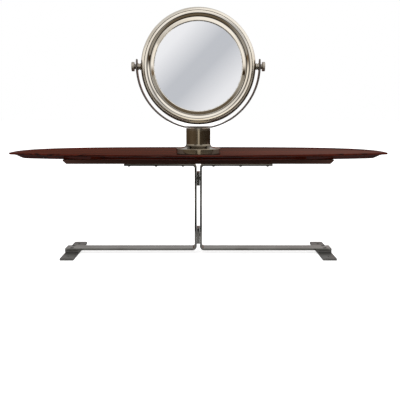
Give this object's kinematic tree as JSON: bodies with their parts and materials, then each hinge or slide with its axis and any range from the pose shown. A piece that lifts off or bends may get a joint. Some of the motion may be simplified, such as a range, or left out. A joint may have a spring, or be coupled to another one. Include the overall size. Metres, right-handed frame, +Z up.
{
  "type": "extendable shaving mirror",
  "caption": "Round tilting shaving mirror in a swivelling yoke on a telescopic pedestal, standing on a long wooden shelf carried by a bent steel bar bracket.",
  "frame": {"origin": "on the floor under the feet, at the middle of the object's width and depth", "axes": "+X to the right seen from the front, along the shelf; -Y to the front, the way the mirror faces; +Z up"},
  "size_m": [0.9, 0.264, 0.5727],
  "materials": {
    "nickel": "polished warm nickel plate on brass",
    "cover_nickel": "pressed sheet with a satin nickel colour",
    "bracket_steel": "plain steel flat bar, dull, with a polished stem",
    "screw_steel": "blackened steel fasteners",
    "rosewood": "dark red-brown rosewood, satin lacquer",
    "dark_wood": "nearly black stained hardwood",
    "hardboard": "plain brown hardboard",
    "silvered_glass": "silvered float glass",
    "felt": "dark felt",
    "nylon": "natural nylon",
    "fibre": "red vulcanised fibre"
  },
  "bodies": {
    "frame": {"bracket_bar_left": "bracket_steel", "bracket_bar_right": "bracket_steel", "upper_spacer": "bracket_steel", "lower_spacer": "bracket_steel", "stem_rivet_1": "bracket_steel", "stem_rivet_2": "bracket_steel", "stem_rivet_3": "bracket_steel", "stem_rivet_4": "bracket_steel", "foot_plate_left": "bracket_steel", "foot_plate_right": "bracket_steel", "foot_block_left": "bracket_steel", "foot_block_right": "bracket_steel", "foot_screw_left_front": "screw_steel", "foot_screw_left_back": "screw_steel", "foot_screw_right_front": "screw_steel", "foot_screw_right_back": "screw_steel", "flange_screw_left_1": "screw_steel", "flange_screw_left_2": "screw_steel", "flange_screw_left_3": "screw_steel", "flange_screw_right_1": "screw_steel", "flange_screw_right_2": "screw_steel", "flange_screw_right_3": "screw_steel", "shelf_batten": "dark_wood", "shelf_board": "rosewood", "base_gasket": "felt", "pedestal": "nickel", "pedestal_screw_1": "screw_steel", "pedestal_screw_2": "screw_steel", "pedestal_screw_3": "screw_steel", "pedestal_screw_4": "screw_steel", "guide_bush": "nylon", "grub_screw": "screw_steel"},
    "post": {"post_tube": "nickel", "guide_ring": "nylon", "post_circlip": "screw_steel", "post_cap": "nickel", "swivel_washer": "nylon", "swivel_screw": "screw_steel"},
    "yoke": {"yoke": "nickel"},
    "head": {"mirror_rim": "nickel", "mirror_bezel": "nickel", "mirror_glass": "silvered_glass", "glass_felt": "felt", "backing_disc": "hardboard", "back_cover": "cover_nickel", "back_screw_1": "nickel", "back_screw_2": "nickel", "back_screw_3": "nickel", "back_screw_4": "nickel", "pivot_boss_left": "nickel", "pivot_boss_right": "nickel", "pivot_stud_left": "screw_steel", "pivot_stud_right": "screw_steel", "fibre_washer_left": "fibre", "fibre_washer_right": "fibre"},
    "knob_left": {"knob_left": "nickel"},
    "knob_right": {"knob_right": "nickel"}
  },
  "joints": [
    {"name": "post_slide", "type": "slide", "parent": "frame", "child": "post", "axis": [0, 0, 1], "range_m": [0, 0.028]},
    {"name": "yoke_swivel", "type": "hinge", "parent": "post", "child": "yoke", "pos_m": [0, -0.062, 0.3006], "axis": [0, 0, 1], "continuous": true},
    {"name": "mirror_tilt", "type": "hinge", "parent": "yoke", "child": "head", "pos_m": [0, -0.062, 0.441], "axis": [1, 0, 0], "continuous": true},
    {"name": "knob_left_turn", "type": "hinge", "parent": "head", "child": "knob_left", "pos_m": [0, -0.062, 0.441], "axis": [-1, 0, 0], "range_deg": [0, 360]},
    {"name": "knob_right_turn", "type": "hinge", "parent": "head", "child": "knob_right", "pos_m": [0, -0.062, 0.441], "axis": [1, 0, 0], "range_deg": [0, 360]}
  ]
}
